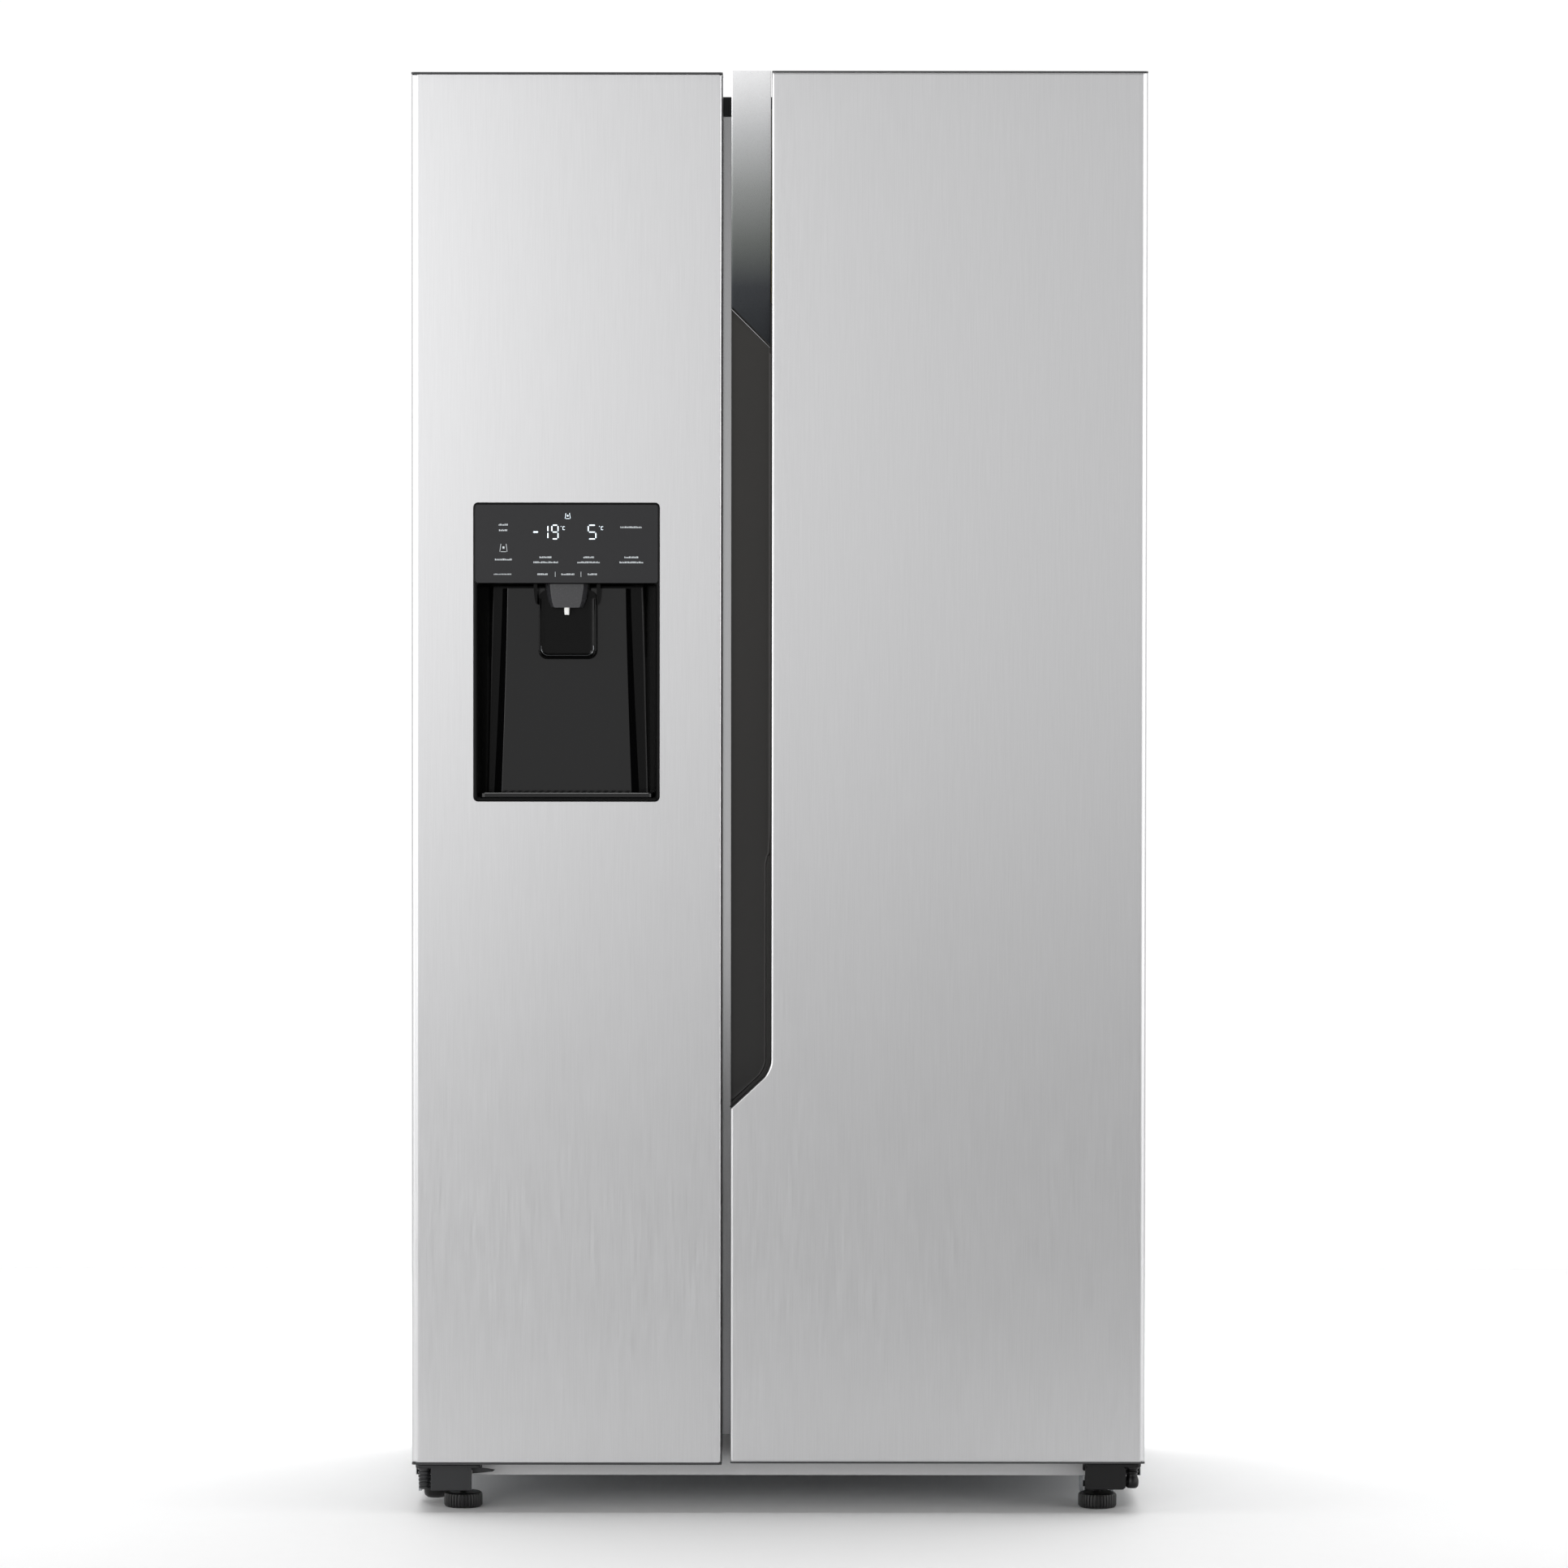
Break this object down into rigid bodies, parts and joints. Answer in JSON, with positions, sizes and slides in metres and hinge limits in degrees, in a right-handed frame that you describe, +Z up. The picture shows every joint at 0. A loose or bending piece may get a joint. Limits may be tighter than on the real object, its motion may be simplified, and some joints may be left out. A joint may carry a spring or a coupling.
{
  "type": "side by side refrigerator",
  "caption": "Tall two-door refrigerator and freezer with an ice and water dispenser in the left door and a recessed grip channel on the right door.",
  "frame": {"origin": "centre of the bounding box's footprint at floor level", "axes": "+Z up, the doors face -Y, +X to the viewer's right when facing the doors"},
  "size_m": [0.91, 0.643, 1.786],
  "materials": {
    "door_steel": "fine vertical brushed stainless",
    "painted_side_steel": "satin grey paint on sheet steel",
    "galvanised_steel": "galvanised sheet",
    "rail_paint": "satin light grey paint",
    "mullion_paint": "satin mid grey paint",
    "hinge_steel": "grey painted steel plate",
    "black_steel": "black painted steel",
    "rigid_foam": "rigid insulating foam",
    "white_liner": "white moulded liner",
    "dark_plastic": "dark grey moulded plastic",
    "cap_plastic": "dark grey end cap",
    "bare_aluminium": "bare",
    "shelf_glass": "clear toughened glass with a white trim",
    "clear_plastic": "clear moulded polystyrene",
    "blue_plastic": "moulded nylon",
    "zinc_screws": "zinc-plated pan heads",
    "roller_plastic": "black nylon",
    "foot_plastic": "black nylon, knurled",
    "seal_rubber": "soft grey magnetic seal",
    "gloss_black": "gloss black",
    "panel_black": "dark grey lens",
    "spout_plastic": "grey moulded plastic",
    "nozzle_plastic": "white moulded plastic",
    "recess_plastic": "warm dark grey satin plastic",
    "trim_metal": "satin metallic"
  },
  "bodies": {
    "cabinet": {"cabinet_wrapper": "painted_side_steel", "back_panel": "galvanised_steel", "bottom_rail": "rail_paint", "centre_mullion": "mullion_paint", "base_tray": "galvanised_steel", "cabinet_insulation": "rigid_foam", "freezer_liner": "white_liner", "fridge_liner": "white_liner", "top_cover": "dark_plastic", "upper_hinge_left": "hinge_steel", "upper_hinge_right": "hinge_steel", "lower_hinge_left": "black_steel", "lower_hinge_right": "black_steel", "machine_cover": "galvanised_steel", "compressor": "black_steel", "condenser": "black_steel", "evaporator": "bare_aluminium", "freezer_duct_cover": "white_liner", "fridge_duct_cover": "white_liner", "freezer_shelves": "shelf_glass", "fridge_shelves": "shelf_glass", "water_inlet_valve": "blue_plastic", "cabinet_screws": "zinc_screws"},
    "freezer_door": {"freezer_door_skin": "door_steel", "freezer_door_liner": "white_liner", "freezer_door_insulation": "rigid_foam", "freezer_top_cap": "cap_plastic", "freezer_bottom_cap": "cap_plastic", "freezer_door_gasket": "seal_rubber", "dispenser_housing": "gloss_black", "control_panel": "panel_black", "dispenser_spout": "spout_plastic", "water_nozzle": "nozzle_plastic", "drip_tray": "gloss_black", "ice_bucket": "clear_plastic", "freezer_door_bins": "clear_plastic"},
    "fridge_door": {"fridge_door_skin": "door_steel", "fridge_door_liner": "white_liner", "fridge_door_insulation": "rigid_foam", "fridge_top_cap": "cap_plastic", "fridge_bottom_cap": "cap_plastic", "fridge_door_gasket": "seal_rubber", "handle_recess": "recess_plastic", "handle_trim": "trim_metal", "fridge_door_bins": "clear_plastic"},
    "evaporator_fan": {"evaporator_fan": "white_liner"},
    "condenser_fan": {"condenser_fan": "dark_plastic"},
    "front_roller_left": {"front_roller_left": "roller_plastic"},
    "front_roller_right": {"front_roller_right": "roller_plastic"},
    "rear_rollers": {"rear_rollers": "roller_plastic"},
    "front_foot_left": {"front_foot_left": "foot_plastic"},
    "front_foot_right": {"front_foot_right": "foot_plastic"},
    "freezer_drawer_lower": {"freezer_drawer_lower": "clear_plastic"},
    "freezer_drawer_upper": {"freezer_drawer_upper": "clear_plastic"},
    "crisper_drawer_lower": {"crisper_drawer_lower": "clear_plastic"},
    "crisper_drawer_upper": {"crisper_drawer_upper": "clear_plastic"},
    "dispenser_paddle": {"dispenser_paddle": "gloss_black"},
    "chute_flap": {"chute_flap": "dark_plastic"},
    "ice_auger": {"ice_auger": "bare_aluminium"},
    "ice_tray": {"ice_tray": "white_liner"}
  },
  "joints": [
    {"name": "freezer_door_hinge", "type": "hinge", "parent": "cabinet", "child": "freezer_door", "pos_m": [-0.441, -0.2835, 0.9], "axis": [0, 0, -1], "range_deg": [0, 120]},
    {"name": "fridge_door_hinge", "type": "hinge", "parent": "cabinet", "child": "fridge_door", "pos_m": [0.441, -0.2835, 0.9], "axis": [0, 0, 1], "range_deg": [0, 120]},
    {"name": "freezer_drawer_lower_slide", "type": "slide", "parent": "cabinet", "child": "freezer_drawer_lower", "axis": [0, -1, 0], "range_m": [0, 0.24]},
    {"name": "freezer_drawer_upper_slide", "type": "slide", "parent": "cabinet", "child": "freezer_drawer_upper", "axis": [0, -1, 0], "range_m": [0, 0.24]},
    {"name": "crisper_drawer_lower_slide", "type": "slide", "parent": "cabinet", "child": "crisper_drawer_lower", "axis": [0, -1, 0], "range_m": [0, 0.24]},
    {"name": "crisper_drawer_upper_slide", "type": "slide", "parent": "cabinet", "child": "crisper_drawer_upper", "axis": [0, -1, 0], "range_m": [0, 0.24]},
    {"name": "dispenser_paddle_pivot", "type": "hinge", "parent": "freezer_door", "child": "dispenser_paddle", "pos_m": [-0.26305, -0.284, 1.1655], "axis": [1, 0, 0], "range_deg": [0, 8], "stiffness_Nm_per_rad": 0.8, "springref_deg": -11.46},
    {"name": "chute_flap_pivot", "type": "hinge", "parent": "freezer_door", "child": "chute_flap", "pos_m": [-0.26305, -0.285, 1.242], "axis": [-1, 0, 0], "range_deg": [0, 41]},
    {"name": "ice_auger_spin", "type": "hinge", "parent": "freezer_door", "child": "ice_auger", "pos_m": [-0.26305, -0.2, 1.345], "axis": [0, 1, 0], "continuous": true},
    {"name": "ice_tray_twist", "type": "hinge", "parent": "freezer_door", "child": "ice_tray", "pos_m": [-0.259, -0.2, 1.575], "axis": [1, 0, 0], "range_deg": [0, 140]},
    {"name": "evaporator_fan_spin", "type": "hinge", "parent": "cabinet", "child": "evaporator_fan", "pos_m": [-0.245, 0.212, 1.12], "axis": [0, 1, 0], "continuous": true},
    {"name": "condenser_fan_spin", "type": "hinge", "parent": "cabinet", "child": "condenser_fan", "pos_m": [-0.075, 0.212, 0.15], "axis": [1, 0, 0], "continuous": true},
    {"name": "front_roller_left_spin", "type": "hinge", "parent": "cabinet", "child": "front_roller_left", "pos_m": [-0.431, -0.216, 0.023], "axis": [1, 0, 0], "continuous": true},
    {"name": "front_roller_right_spin", "type": "hinge", "parent": "cabinet", "child": "front_roller_right", "pos_m": [0.4, -0.216, 0.023], "axis": [1, 0, 0], "continuous": true},
    {"name": "rear_rollers_spin", "type": "hinge", "parent": "cabinet", "child": "rear_rollers", "pos_m": [0, 0.27, 0.02], "axis": [1, 0, 0], "continuous": true},
    {"name": "front_foot_left_screw", "type": "slide", "parent": "cabinet", "child": "front_foot_left", "axis": [0, 0, -1], "range_m": [0, 0.012]},
    {"name": "front_foot_right_screw", "type": "slide", "parent": "cabinet", "child": "front_foot_right", "axis": [0, 0, -1], "range_m": [0, 0.012]}
  ],
  "couplings": [
    {"joint": "freezer_drawer_lower_slide", "follows": "freezer_door_hinge", "m_per_rad": 0.1145},
    {"joint": "freezer_drawer_upper_slide", "follows": "freezer_door_hinge", "m_per_rad": 0.1145},
    {"joint": "crisper_drawer_lower_slide", "follows": "fridge_door_hinge", "m_per_rad": 0.1145},
    {"joint": "crisper_drawer_upper_slide", "follows": "fridge_door_hinge", "m_per_rad": 0.1145},
    {"joint": "chute_flap_pivot", "follows": "dispenser_paddle_pivot", "ratio": 5}
  ]
}
